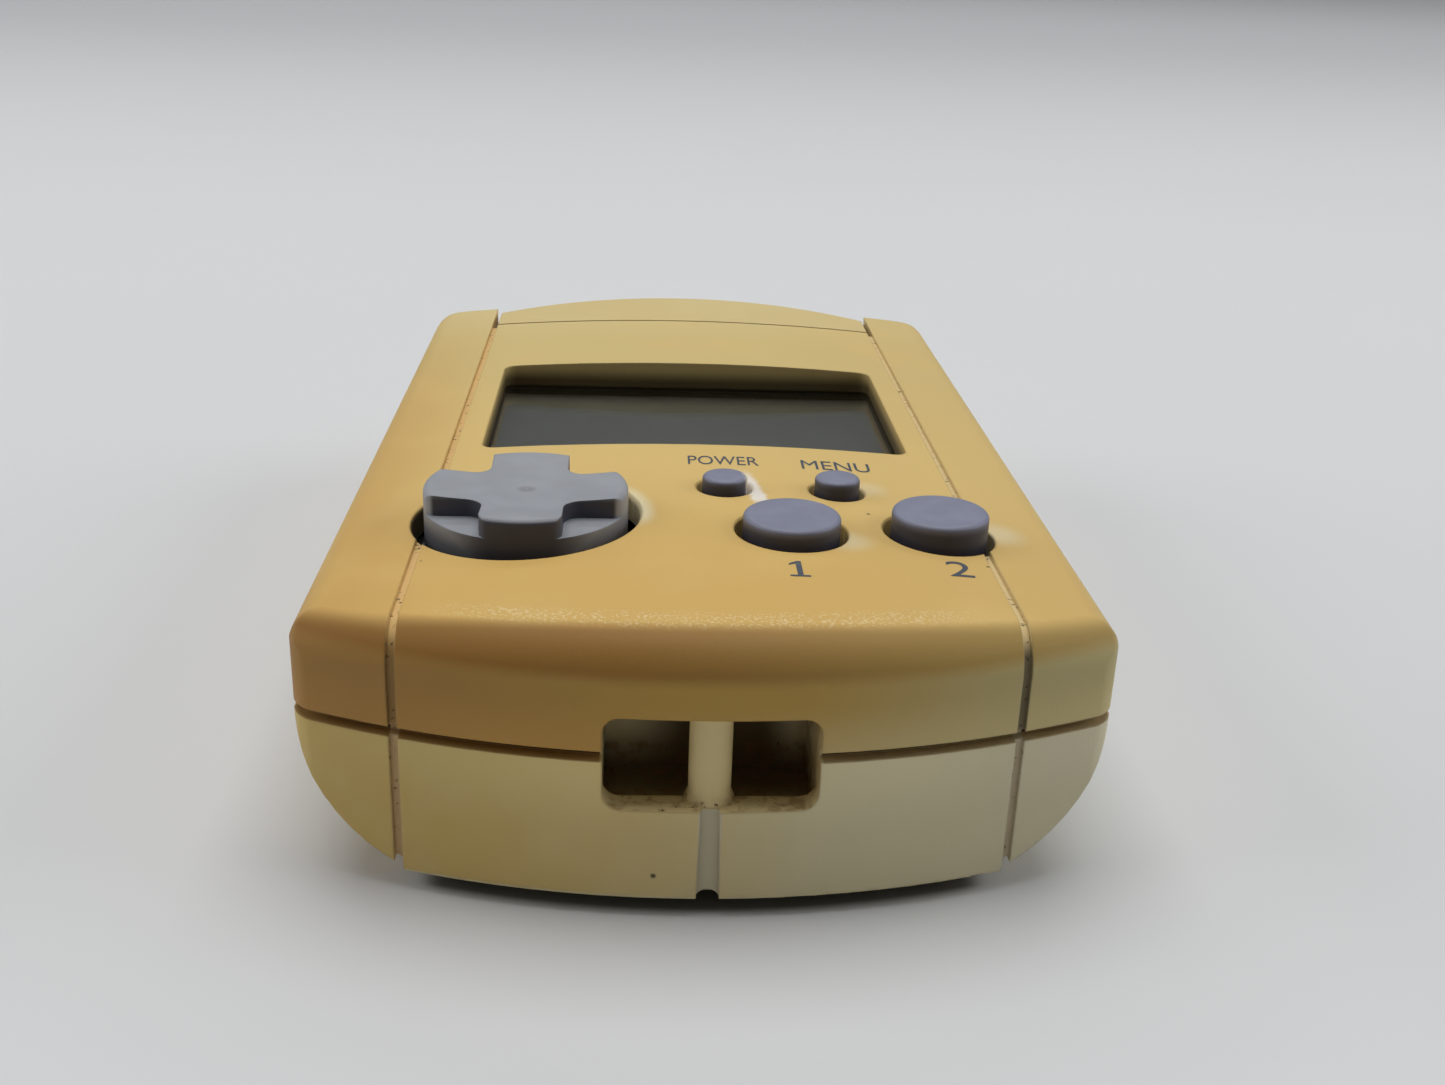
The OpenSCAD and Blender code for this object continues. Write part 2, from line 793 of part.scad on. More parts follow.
// What stands on the inside of the rear shell
module rear_fittings() {
    intersection() {
        recess(recess_wall);
        below(front_bottom_z);
    }
    slab(
        [0, (cover_near_y + cover_far_y) / 2], 2 * (cover_half_w + cover_margin),
        cover_far_y - cover_near_y + 2 * cover_margin, 0, plate_top_z
    );
    for (cell = cells)
        rod(cell, well_r + well_wall, 0, well_top_z);
    rod(cover_screw_place, cover_boss_r, 0, cover_boss_top_z);
    for (place = boss_places)
        rod(place, boss_d / 2, 0, front_bottom_z);
    for (place = board_post_places)
        rod(place, post_r, 0, board_z);
}

// Shallow recess in the underside that takes the battery cover
module cover_recess() {
    slab(
        [0, (cover_near_y + cover_far_y) / 2], 2 * (cover_half_w + cover_fit),
        cover_far_y - cover_near_y + 2 * cover_fit, -over, cover_t
    );
}

// Tapered groove below the recess and the half-round notch that it ends in
module tail_groove() {
    translate([0, near_y + tail_depth, 0])
        rotate([90, 0, 0])
            linear_extrude(tail_depth + over)
                polygon([
                    [-tail_top_w / 2, recess_floor_z + over / 2],
                    [tail_top_w / 2, recess_floor_z + over / 2],
                    [tail_bottom_w / 2, 0],
                    [-tail_bottom_w / 2, 0]
                ]);
    translate([0, near_y + 2 * notch_r, 0])
        rotate([90, 0, 0])
            cylinder(r = notch_r, h = 2 * notch_r + over);
}

// Round post across the mouth of the recess, with a flared foot
module strap_post() {
    foot_h = 0.5;
    foot_flare = 0.2;
    foot_r = post_d / 2 + foot_flare;
    root_z = recess_sunk_z - recess_wall / 2;
    rod([0, post_y], post_d / 2, root_z, recess_roof_z - slip_fit);
    translate([0, post_y, recess_floor_z])
        cylinder(r1 = foot_r, r2 = post_d / 2, h = foot_h);
    rod([0, post_y], foot_r, root_z, recess_floor_z);
}

// Front shell: crowned, with the display window, the control holes, the upper half
// of the strap recess and the bosses that the case screws bite into
module front_case() {
    color("#C8A662")
        difference() {
            union() {
                difference() {
                    intersection() {
                        grooved_body();
                        above(front_bottom_z);
                    }
                    cavity(wall);
                }
                intersection() {
                    cavity(wall / 2);
                    front_fittings();
                }
            }
            recess(0);
            plug_passage();
            cap_space();
            translate([0, window_y, 0])
                linear_extrude(body_h + over)
                    rounded_rect(window_w, window_l, window_r);
            slab([0, window_y], lens_w + 2 * slip_fit, lens_l + 2 * slip_fit, 0, lens_seat_z);
            control_hole(pad_x, pad_y, pad_hole_d / 2, pad_lip_r);
            control_hole(action_left_x, action_y, action_hole_d / 2, button_lip_r);
            control_hole(action_right_x, action_right_y, action_hole_d / 2, button_lip_r);
            control_hole(small_left_x, small_y, small_hole_d / 2, button_lip_r);
            control_hole(small_right_x, small_y, small_hole_d / 2, button_lip_r);
            for (place = boss_places)
                rod(place, screw_d / 2 + slip_fit, 0, screw_tip_z + screw_fit);
        }
}

// What stands on the inside of the front shell
module front_fittings() {
    intersection() {
        recess(recess_wall);
        above(front_bottom_z);
    }
    slab([0, window_y], lens_w + wall, lens_l + wall, lens_seat_z, body_h);
    for (place = boss_places)
        rod(place, boss_d / 2, front_bottom_z, body_h);
}

// Outside of the cap, drawn in by inset
module cap_body(inset) {
    difference() {
        intersection() {
            translate([0, 0, -over])
                linear_extrude(body_h + 2 * over)
                    intersection() {
                        translate([0, tip_y - cap_arc_r])
                            circle(cap_arc_r - inset);
                        translate([inset - cap_half_w, 0])
                            square([2 * (cap_half_w - inset), body_l]);
                    }
            section_bar(inset);
        }
        translate([0, tip_y - inset, body_h - inset])
            mirror([0, 1, 0])
                end_rounding(cap_arc_r, cap_half_w, cap_fillet_r, inset);
    }
}

// Hollow cap that slides over the plug and grips the collar
module connector_cap() {
    color("#CBAC6B")
        difference() {
            cap_body(0);
            cap_body(cap_wall);
            translate([-body_w, seam_y + cap_fit - body_l, -over])
                cube([2 * body_w, body_l, body_h + 3 * over]);
        }
}

// Plug with its collar, its shroud and the tongue that carries the contacts
module connector_housing() {
    shroud_w = plug_w - 2 * plug_wall;
    shroud_h = plug_h - 2 * plug_wall;
    color("#3A3B3F")
        difference() {
            union() {
                slab(
                    [0, (plug_inner_y + plug_tip_y) / 2], plug_w, plug_tip_y - plug_inner_y,
                    plug_z - plug_h / 2, plug_z + plug_h / 2
                );
                intersection() {
                    section_bar(cap_wall + cap_fit);
                    slab(
                        [0, seam_y + collar_l / 2], 2 * (cap_half_w - cap_wall - cap_fit), collar_l,
                        0, body_h
                    );
                }
            }
            difference() {
                slab(
                    [0, plug_inner_y + plug_back_t + body_l / 2], shroud_w, body_l,
                    plug_z - shroud_h / 2, plug_z + shroud_h / 2
                );
                slab(
                    [0, (plug_inner_y + tongue_tip_y) / 2], tongue_w, tongue_tip_y - plug_inner_y,
                    board_z, board_top_z
                );
            }
            contact_strips(slip_fit);
        }
}

// Contacts on both faces of the tongue, which run back over the board
module contact_strips(grow) {
    y0 = plug_inner_y - contact_tail;
    y1 = tongue_tip_y - plug_wall;
    for (i = [0:contacts_per_face - 1], z = [board_z - contact_t, board_top_z])
        slab(
            [(i - (contacts_per_face - 1) / 2) * contact_pitch, (y0 + y1) / 2],
            contact_w + 2 * grow, y1 - y0, z - (z < board_top_z ? grow : 0),
            z + contact_t + (z < board_top_z ? 0 : grow)
        );
}

module connector_contacts() {
    color("#C9A24B")
        contact_strips(0);
}

// Cover over the coin cells, flush with the underside
module battery_cover() {
    color("#C9BC8E")
        difference() {
            slab(
                [0, (cover_near_y + cover_far_y) / 2], 2 * cover_half_w, cover_far_y - cover_near_y,
                0, cover_t - slip_fit
            );
            rod(cover_screw_place, cover_screw_d / 2 + slip_fit, -over, cover_t + over);
            rod(cover_screw_place, cover_screw_head_r + slip_fit, -over, cover_screw_head_h);
        }
}

// Screw with a cross recess in its head, head down
module screw(place, head_r, head_h, shank_r, z0, z1) {
    slot_w = head_r / 3;
    slot_l = 1.3 * head_r;
    slot_top_z = z0 + head_h / 2;
    difference() {
        union() {
            rod(place, head_r, z0, z0 + head_h);
            rod(place, shank_r, slot_top_z, z1);
        }
        slab(place, slot_w, slot_l, z0 - over, slot_top_z);
        slab(place, slot_l, slot_w, z0 - over, slot_top_z);
    }
}

module battery_cover_screw() {
    color("#8E9196")
        screw(
            cover_screw_place, cover_screw_head_r, cover_screw_head_h - slip_fit, cover_screw_d / 2,
            slip_fit, cover_screw_l
        );
}

// Screws from the underside through the rear bosses into the front ones
module case_screws() {
    color("#8E9196")
        for (place = boss_places)
            screw(
                place, screw_head_d / 2, screw_head_h, screw_d / 2,
                screw_well_depth - screw_head_h, screw_tip_z
            );
}

// Screws that hold the board down on two of its posts
module board_screws() {
    color("#8E9196")
        for (place = board_screw_places)
            translate([0, 0, board_top_z + board_screw_head_h])
                mirror([0, 0, 1])
                    screw(
                        place, board_screw_head_r, board_screw_head_h, board_screw_d / 2,
                        0, board_screw_head_h + board_t + board_screw_depth
                    );
}

// Clear lens bonded behind the window
module display_lens() {
    color("#DDE6DD", 0.4)
        slab([0, window_y], lens_w, lens_l, lens_bottom_z, lens_seat_z);
}

// Black frame that stands on the board and holds the panel
module lcd_frame() {
    color("#1E1F20")
        difference() {
            slab([0, window_y], lcd_frame_w, lcd_frame_l, board_top_z, lcd_frame_top_z);
            slab([0, window_y], lens_w, lens_l, board_top_z - over, lcd_top_z + slip_fit);
            slab([0, window_y], window_w, window_l, board_top_z, lcd_frame_top_z + over);
        }
}

module lcd_panel() {
    color("#6E7468")
        slab([0, window_y], lcd_w, lcd_l, lcd_bottom_z, lcd_top_z);
}

// Rubber strips that link the panel's two long edges to the board
module lcd_contact_strips() {
    color("#D8B8B0")
        for (side = [-1, 1])
            slab(
                [0, window_y + side * (lcd_l - strip_w) / 2], lcd_w - 2 * strip_w, strip_w,
                board_top_z, lcd_bottom_z
            );
}

// Board with its tail to the plug and the holes of its two screws
module circuit_board() {
    color("#2F6B3C")
        difference() {
            union() {
                slab(
                    [0, (board_near_y + board_far_y) / 2], board_w, board_far_y - board_near_y,
                    board_z, board_top_z
                );
                slab(
                    [0, (board_far_y - over + plug_inner_y) / 2], tongue_w,
                    plug_inner_y - board_far_y + over, board_z, board_top_z
                );
            }
            for (place = board_screw_places)
                rod(place, board_screw_d / 2 + slip_fit, 0, body_h);
        }
}

// Square chip under the board, with a row of pins on each side
module controller_chip() {
    pin_pitch = 1;
    pin_w = 0.4;
    pin_reach = 0.9;
    pin_t = 0.3;
    standoff = 0.1;
    pins = floor(chip_w / pin_pitch) - 1;
    clip_far_y = far_cell[1] + cell_r + slip_fit + clip_t;
    place = [0, clip_far_y + rest_gap + pin_reach + chip_w / 2];
    color("#1C1D1F") {
        slab(place, chip_w, chip_w, board_z - chip_t, board_z - standoff);
        for (i = [0:pins - 1]) {
            offset_x = (i - (pins - 1) / 2) * pin_pitch;
            slab(place + [offset_x, 0], pin_w, chip_w + 2 * pin_reach, board_z - pin_t, board_z);
            slab(place + [0, offset_x], chip_w + 2 * pin_reach, pin_w, board_z - pin_t, board_z);
        }
    }
}

// Watch crystal lying under the board
module crystal() {
    edge_gap = 3;
    place = [board_w / 2 - edge_gap, window_y];
    color("#B9BCC0")
        translate([place[0], place[1] - crystal_l / 2, board_z - crystal_d / 2 - slip_fit])
            rotate([-90, 0, 0])
                cylinder(d = crystal_d, h = crystal_l);
}

// Resistors and capacitors under the board
module small_components() {
    part_w = 1;
    part_l = 2;
    part_h = 0.7;
    pitch = 3.4;
    parts_per_row = 5;
    edge_gap = 2.6;
    color("#3B3936")
        for (i = [0:parts_per_row - 1])
            slab(
                [edge_gap - board_w / 2, window_y + (i - (parts_per_row - 1) / 2) * pitch], part_w, part_l,
                board_z - part_h, board_z
            );
}

// Pad with four arms over a round body, dished on top, kept in by a collar
module direction_pad() {
    pad_r = pad_d / 2;
    color("#94979D")
        translate([pad_x, pad_y, 0])
            difference() {
                union() {
                    rod([0, 0], pad_r, control_bottom_z, pad_ledge_z);
                    rod([0, 0], pad_collar_r, pad_collar_top_z - collar_t, pad_collar_top_z);
                    intersection() {
                        rotate_extrude()
                            rounded_profile(pad_r, control_bottom_z, pad_top_z, pad_edge_r);
                        linear_extrude(2 * body_h)
                            pad_cross(pad_r, pad_arm_w / 2);
                    }
                }
                translate([0, 0, pad_top_z + pad_dish_r - pow(pad_r - pad_edge_r, 2) / (2 * pad_dish_r)])
                    sphere(pad_dish_r);
                translate([0, 0, pad_top_z])
                    sphere(pad_dimple_r);
            }
}

// Cross seen from above, with rounded inner corners and rounded corners at its tips
module pad_cross(reach, arm) {
    tip_c = [arm - pad_tip_r, sqrt(pow(reach - pad_tip_r, 2) - pow(arm - pad_tip_r, 2))];
    difference() {
        union() {
            square([2 * arm, 2 * (reach + over)], center = true);
            square([2 * (reach + over), 2 * arm], center = true);
            for (a = [0:90:270])
                rotate(a)
                    difference() {
                        translate([arm - edge_proud, arm - edge_proud])
                            square(pad_corner_r + edge_proud);
                        translate([arm + pad_corner_r, arm + pad_corner_r])
                            circle(pad_corner_r);
                    }
        }
        for (a = [0:90:270], side = [0, 1])
            rotate(a)
                mirror([side, 0])
                    corner_cut(
                        [
                            tip_c, tip_c * (reach + over) / norm(tip_c),
                            [arm + over, reach + 2 * over], [arm + over, tip_c[1]]
                        ],
                        pad_tip_r + edge_proud
                    );
    }
}

// Half profile of a round key between two heights, with a rounded top edge
module rounded_profile(r, z0, z1, edge_r) {
    translate([0, z0])
        square([r, z1 - z0 - edge_r]);
    translate([0, z0])
        square([r - edge_r, z1 - z0]);
    translate([r - edge_r, z1 - edge_r])
        circle(edge_r);
}

// Ball between the pad and the board that the pad rocks on, flat above and below
module dpad_pivot() {
    bottom_z = board_top_z + 2 * rest_gap;
    top_z = control_bottom_z - rest_gap;
    color("#7E8187")
        intersection() {
            translate([pad_x, pad_y, (bottom_z + top_z) / 2])
                sphere(d = pivot_d);
            slab([pad_x, pad_y], pad_d, pad_d, bottom_z, top_z);
        }
}

// Round key with a collar that stops under the front
module round_button(x, y, key_r, hole_r, top_z) {
    key_collar_r = hole_r + collar_reach;
    key_collar_top_z = crown_z(x + key_collar_r, wall) - rest_gap;
    color("#7D7E91")
        translate([x, y, 0])
            union() {
                rotate_extrude()
                    rounded_profile(key_r, control_bottom_z, top_z, button_edge_r);
                rod([0, 0], key_collar_r, key_collar_top_z - collar_t, key_collar_top_z);
            }
}

module left_action_button() {
    round_button(action_left_x, action_y, action_d / 2, action_hole_d / 2, action_top_z);
}

module right_action_button() {
    round_button(action_right_x, action_right_y, action_d / 2, action_hole_d / 2, action_top_z);
}

module left_small_button() {
    round_button(small_left_x, small_y, small_d / 2, small_hole_d / 2, small_top_z);
}

module right_small_button() {
    round_button(small_right_x, small_y, small_d / 2, small_hole_d / 2, small_top_z);
}

// Rubber dome on the board, and the hollow under it
module dome(place, base_r) {
    translate([place[0], place[1], board_top_z])
        cylinder(r1 = base_r, r2 = base_r - dome_taper, h = dome_h);
}

module dome_hollow(place, base_r) {
    rod(place, base_r - dome_wall - dome_taper / 2, board_top_z - over, dome_roof_z);
}

// Rubber sheet with a dome under each arm of the pad
module dpad_membrane() {
    color("#D9D4C8")
        difference() {
            union() {
                rod([pad_x, pad_y], pad_sheet_r, board_top_z, board_top_z + membrane_t);
                for (place = pad_dome_places)
                    dome(place, pad_dome_base_r);
            }
            for (place = pad_dome_places)
                dome_hollow(place, pad_dome_base_r);
            rod([pad_x, pad_y], pivot_d / 2 + pivot_room, 0, body_h);
        }
}

// Rubber sheet with a dome under each button
module button_membrane() {
    x0 = small_left_x - small_dome_r - sheet_margin;
    x1 = action_right_x + action_dome_r + sheet_margin;
    y0 = membrane_near_y;
    y1 = small_y + small_dome_r + sheet_margin;
    color("#D9D4C8")
        difference() {
            union() {
                slab(
                    [(x0 + x1) / 2, (y0 + y1) / 2], x1 - x0, y1 - y0, board_top_z,
                    board_top_z + membrane_t
                );
                for (button = button_dome_places)
                    dome(button[0], button[1]);
            }
            for (button = button_dome_places)
                dome_hollow(button[0], button[1]);
        }
}

// Carbon pills under the domes
module carbon_contacts() {
    carbon_fit = 0.1;
    color("#1A1A1A") {
        for (place = pad_dome_places)
            carbon_pill(place, pad_dome_base_r - dome_wall - dome_taper / 2 - carbon_fit);
        for (button = button_dome_places)
            carbon_pill(button[0], button[1] - dome_wall - dome_taper / 2 - carbon_fit);
    }
}

module carbon_pill(place, r) {
    rod(place, r, dome_roof_z - carbon_t, dome_roof_z);
}

// Coin cell: a can with a smaller lid, lid up
module coin_cell(place) {
    lid_step = 1.2;
    lid_r = cell_r - lid_step;
    lid_t = 0.4;
    color("#B4B7BB") {
        rod(place, cell_r, cell_z, cell_z + cell_t - lid_t);
        rod(place, lid_r, cell_z + cell_t - lid_t, cell_z + cell_t);
    }
}

module near_coin_cell() {
    coin_cell(near_cell);
}

module far_coin_cell() {
    coin_cell(far_cell);
}

// Springs that stand on the rim of each cell and reach up to the board
module battery_plus_contacts() {
    color("#C4B27A")
        for (cell = cells)
            slab(
                cell + [0, clip_side(cell) * (cell_r + slip_fit + clip_t / 2)], clip_w, clip_t,
                plate_top_z + slip_fit, board_z
            );
}

// Springs that press on the lid of each cell, each with a leg up to the board
module battery_minus_contacts() {
    spring_l = 6;
    color("#C4B27A")
        for (cell = cells) {
            slab(cell, clip_w, spring_l, clip_top_z - clip_t, clip_top_z);
            slab(cell + [0, spring_l / 2 - clip_t / 2], clip_leg_w, clip_t, clip_top_z - clip_t, board_z);
        }
}

// Sounder on its foam ring, over the holes in the floor
module buzzer_disc() {
    ceramic_t = 0.2;
    ceramic_inset = 2;
    color("#B8923F") {
        rod([0, buzzer_y], buzzer_d / 2, buzzer_z, buzzer_z + buzzer_t);
        rod(
            [0, buzzer_y], buzzer_d / 2 - ceramic_inset, buzzer_z + buzzer_t,
            buzzer_z + buzzer_t + ceramic_t
        );
    }
}

module buzzer_pad() {
    ring_w = 1.8;
    color("#3C3C3C")
        difference() {
            rod([0, buzzer_y], buzzer_d / 2, floor_z, buzzer_z);
            rod([0, buzzer_y], buzzer_d / 2 - ring_w, 0, body_h);
        }
}

rear_case();
front_case();
connector_cap();
battery_cover();
battery_cover_screw();
case_screws();
board_screws();
display_lens();
lcd_frame();
lcd_panel();
lcd_contact_strips();
circuit_board();
controller_chip();
crystal();
small_components();
direction_pad();
dpad_pivot();
left_action_button();
right_action_button();
left_small_button();
right_small_button();
dpad_membrane();
button_membrane();
carbon_contacts();
connector_housing();
connector_contacts();
near_coin_cell();
far_coin_cell();
battery_plus_contacts();
battery_minus_contacts();
buzzer_disc();
buzzer_pad();
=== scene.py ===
import math

import bpy
import numpy as np
from mathutils import Matrix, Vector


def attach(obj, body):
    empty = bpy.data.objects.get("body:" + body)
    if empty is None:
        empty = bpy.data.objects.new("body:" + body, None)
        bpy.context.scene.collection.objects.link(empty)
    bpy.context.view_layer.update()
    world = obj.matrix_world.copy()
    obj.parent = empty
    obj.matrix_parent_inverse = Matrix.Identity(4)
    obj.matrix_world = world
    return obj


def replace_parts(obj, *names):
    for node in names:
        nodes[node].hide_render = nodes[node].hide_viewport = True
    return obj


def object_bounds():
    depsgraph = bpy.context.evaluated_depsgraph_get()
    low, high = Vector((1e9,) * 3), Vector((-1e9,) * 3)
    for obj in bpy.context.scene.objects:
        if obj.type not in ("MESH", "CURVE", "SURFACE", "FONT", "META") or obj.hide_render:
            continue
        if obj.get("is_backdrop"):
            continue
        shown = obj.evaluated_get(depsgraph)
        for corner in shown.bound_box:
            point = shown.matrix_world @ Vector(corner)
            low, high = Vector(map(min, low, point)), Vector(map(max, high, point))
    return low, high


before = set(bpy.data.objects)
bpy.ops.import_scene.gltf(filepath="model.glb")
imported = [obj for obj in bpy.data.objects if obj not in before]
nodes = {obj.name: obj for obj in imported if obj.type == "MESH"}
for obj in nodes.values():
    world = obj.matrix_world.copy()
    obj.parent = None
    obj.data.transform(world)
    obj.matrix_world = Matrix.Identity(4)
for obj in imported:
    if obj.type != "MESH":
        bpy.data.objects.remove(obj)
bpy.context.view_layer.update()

MM = 0.001


# Front shell. Amber, yellowed ABS with a fine spark texture, moulded in one piece and
# screwed to the rear shell from below. Paler where it was covered, shinier along the worn
# near edge, and grey with dirt in the two side grooves. Its hollows, near end and near edge
# also carry painted shade, painted light and painted glints. All places are in mm.
END_CENTRE = (0.0, 14.0, 0.0)
END_R = 54.0
EDGE_CENTRE = (0.0, 28.0, 0.0)
GROOVE_X = 17.41
WINDOW_HALF = 15.3
WINDOW_NEAR = -6.97
WINDOW_FAR = 14.52
PAD_CENTRE = (-11.15, -20.6, 0.0)
PAD_HOLE_R = 7.15
RECESS_HALF = 5.94
RECESS_FLOOR = 5.9
RECESS_ROOF = 11.54
RECESS_BACK = -32.5
LIP_BACK = -38.2
SUNK_FLOOR = 4.4


def linear(code):
    """sRGB hex colour as linear RGBA: c/12.92 up to 0.04045, else ((c+0.055)/1.055)^2.4."""
    c = np.array([int(code[i:i + 2], 16) for i in (1, 3, 5)]) / 255
    c = np.where(c <= 0.04045, c / 12.92, ((c + 0.055) / 1.055) ** 2.4)
    return (*c.tolist(), 1.0)


def add(tree, kind, inputs=None, **settings):
    """New shader node of this kind; an input is a socket to link or a value to set."""
    node = tree.nodes.new("ShaderNode" + kind)
    for key, value in settings.items():
        setattr(node, key, value)
    for key, value in (inputs or {}).items():
        socket = node.inputs[key]
        if isinstance(value, bpy.types.NodeSocket):
            tree.links.new(value, socket)
        else:
            socket.default_value = value
    return node


def new_material(name):
    """Empty material with a Principled shader: (material, tree, shader, place in mm, x, y, z)."""
    material = bpy.data.materials.new(name)
    material.use_nodes = True
    tree = material.node_tree
    tree.nodes.clear()
    shader = add(tree, "BsdfPrincipled")
    add(tree, "OutputMaterial", {"Surface": shader.outputs[0]})
    place = add(tree, "TexCoord").outputs["Object"]
    place = add(tree, "VectorMath", {0: place, "Scale": 1 / MM}, operation="SCALE").outputs[0]
    split = add(tree, "SeparateXYZ", {0: place})
    return material, tree, shader, place, *split.outputs


def ramp(tree, value, low, high, top=1.0):
    """0 before low, top after high and smooth between; low may be above high."""
    ends = {0: value, 1: low, 2: high, 4: top}
    return add(tree, "MapRange", ends, interpolation_type="SMOOTHSTEP").outputs[0]


def calc(tree, operation, a, b=0.0):
    """One step of arithmetic on numbers or sockets."""
    return add(tree, "Math", {0: a, 1: b}, operation=operation).outputs[0]


def both(tree, first, *others):
    """Product of masks: 1 only where each of them is."""
    for other in others:
        first = calc(tree, "MULTIPLY", first, other)
    return first


def blend(tree, share, a, b):
    """Colour a where share is 0 and colour b where it is 1; hex codes or sockets."""
    a, b = (linear(c) if isinstance(c, str) else c for c in (a, b))
    return add(tree, "Mix", {0: share, 6: a, 7: b}, data_type="RGBA").outputs[2]


def noise(tree, place, size, detail=2.0):
    """Noise from 0 to 1 whose blotches are about size mm across."""
    return add(tree, "TexNoise", {"Vector": place, "Scale": 1 / size, "Detail": detail}).outputs[0]


def spot(tree, place, centre, inner, outer, top=1.0):
    """Top inside a ball of radius inner mm round centre, fading to 0 at radius outer."""
    off = add(tree, "VectorMath", {0: place, 1: centre}, operation="DISTANCE").outputs["Value"]
    return ramp(tree, off, outer, inner, top)


def plan(tree, x, y):
    """The place seen from above, with z = 0, so that a spot on it is an upright cylinder."""
    return add(tree, "CombineXYZ", {0: x, 1: y}).outputs[0]


def grain(tree, shader, place, size, height, edge=0.2):
    """Spark texture: bumps of size and height in mm, over edges eased by edge mm."""
    eased = add(tree, "Bevel", {"Radius": edge * MM}, samples=4).outputs[0]
    bumps = {"Strength": 1.0, "Distance": height * MM, "Height": noise(tree, place, size, 3.0)}
    made = add(tree, "Bump", {**bumps, "Normal": eased})
    tree.links.new(made.outputs[0], shader.inputs["Normal"])


def coat(tree, shader, colour, roughness, specular=0.5):
    """Colour, roughness and specular level of a finish; the roughness is a number or a socket."""
    tree.links.new(colour, shader.inputs["Base Color"])
    if isinstance(roughness, bpy.types.NodeSocket):
        tree.links.new(roughness, shader.inputs["Roughness"])
    else:
        shader.inputs["Roughness"].default_value = roughness
    shader.inputs["Specular IOR Level"].default_value = specular


def grooves(tree, place, x, colour, dirt):
    """Dirt with dark specks in the two side grooves, to 0.3 mm either side of their middles."""
    off = calc(tree, "SUBTRACT", calc(tree, "ABSOLUTE", x), GROOVE_X)
    specks = ramp(tree, noise(tree, place, 0.4, 4.0), 0.61, 0.70, 0.9)
    dirt = blend(tree, specks, dirt, "#54452E")
    return blend(tree, ramp(tree, calc(tree, "ABSOLUTE", off), 0.31, 0.22), colour, dirt)


def skin(name, node, body, material, crease=36):
    """Welded copy of a CAD node with soft shading. A corner's normal is the mean of the faces
    round it, weighted by area, across every edge that turns by less than crease degrees."""
    source = nodes[node].data
    points = np.empty(len(source.vertices) * 3, np.float32)
    source.vertices.foreach_get("co", points)
    points = points.reshape(-1, 3)
    source.calc_loop_triangles()
    faces = np.empty(len(source.loop_triangles) * 3, np.int32)
    source.loop_triangles.foreach_get("vertices", faces)
    microns = np.round(points * 1e6).astype(np.int64)
    _, first, where = np.unique(microns, axis=0, return_index=True, return_inverse=True)
    faces = where.reshape(-1)[faces].reshape(-1, 3)
    whole = (faces != np.roll(faces, 1, 1)).all(1)
    mesh = bpy.data.meshes.new(name)
    mesh.from_pydata(points[first].tolist(), [], faces[whole].tolist())
    mesh.shade_smooth()
    mesh.set_sharp_from_angle(angle=math.radians(crease))
    mesh.materials.append(material)
    piece = bpy.data.objects.new(name, mesh)
    bpy.context.scene.collection.objects.link(piece)
    soft = piece.modifiers.new("soft", "WEIGHTED_NORMAL")
    soft.mode = "FACE_AREA"
    soft.keep_sharp = True
    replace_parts(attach(piece, body), node)


def recess_walls(tree, place, x, y, z, colour):
    """Cream, less yellowed plastic in the strap recess, with a painted shade that darkens it
    towards its back, painted light in the upper outer corners, and brown dirt and specks on its
    lip. Behind the lip its floor is sunk. The mask keeps 0.05 mm inside the end's arc, so that it
    ends at the mouth."""
    within = spot(tree, plan(tree, x, y), END_CENTRE, END_R - 0.07, END_R - 0.03)
    across = ramp(tree, calc(tree, "ABSOLUTE", x), RECESS_HALF + 0.07, RECESS_HALF + 0.02)
    below = ramp(tree, z, RECESS_ROOF + 0.06, RECESS_ROOF + 0.02)
    mouth = ramp(tree, z, RECESS_FLOOR - 0.06, RECESS_FLOOR - 0.02)
    sunk = ramp(tree, z, SUNK_FLOOR - 0.10, SUNK_FLOOR - 0.06)
    sunk = both(tree, sunk, ramp(tree, y, LIP_BACK - 0.04, LIP_BACK + 0.02))
    above = calc(tree, "MAXIMUM", mouth, sunk)
    before = ramp(tree, y, RECESS_BACK + 0.2, RECESS_BACK + 0.1)
    inside = both(tree, within, across, before, below, above)
    # Painted light in the upper outer corners, over a painted shade towards the back.
    left = both(tree, ramp(tree, x, -1.0, -5.0), ramp(tree, z, 3.8, 7.6))
    right = both(tree, ramp(tree, x, 3.2, 5.9), ramp(tree, z, 4.0, 7.5))
    back = blend(tree, calc(tree, "MAXIMUM", left, right), "#6A583A", "#EEE2BC")
    cream = blend(tree, ramp(tree, y, -38.8, -34.0), "#DFCB95", back)
    stains = ramp(tree, noise(tree, place, 1.5, 3.0), 0.3, 0.6, 0.5)
    cream = blend(tree, both(tree, ramp(tree, x, 4.9, 5.9), stains), cream, "#A27C48")
    lip = ramp(tree, z, 6.3, 5.95)
    stains = ramp(tree, noise(tree, place, 0.7, 4.0), 0.45, 0.65, 0.5)
    cream = blend(tree, both(tree, lip, stains), cream, "#8A5F3C")
    specks = both(tree, lip, ramp(tree, noise(tree, place, 0.35, 3.0), 0.66, 0.72))
    return blend(tree, inside, colour, blend(tree, specks, cream, "#3A2A1C"))


def smear(tree, place, x, y, colour):
    """White rub mark, about 1 mm wide, from (2.8, -12.1) to (3.9, -18.5) mm in the plan. Its
    middle is the line x = 0.82 - 0.166 y, and noise makes its sides ragged."""
    middle = calc(tree, "ADD", calc(tree, "MULTIPLY", y, -0.166), 0.82)
    off = calc(tree, "ABSOLUTE", calc(tree, "SUBTRACT", x, middle))
    ragged = calc(tree, "ADD", off, calc(tree, "MULTIPLY", noise(tree, place, 0.7, 4.0), 0.5))
    ends = both(tree, ramp(tree, y, -19.0, -17.8), ramp(tree, y, -11.8, -14.5))
    return blend(tree, both(tree, ramp(tree, ragged, 1.0, 0.55), ends), colour, "#E8E0D4")


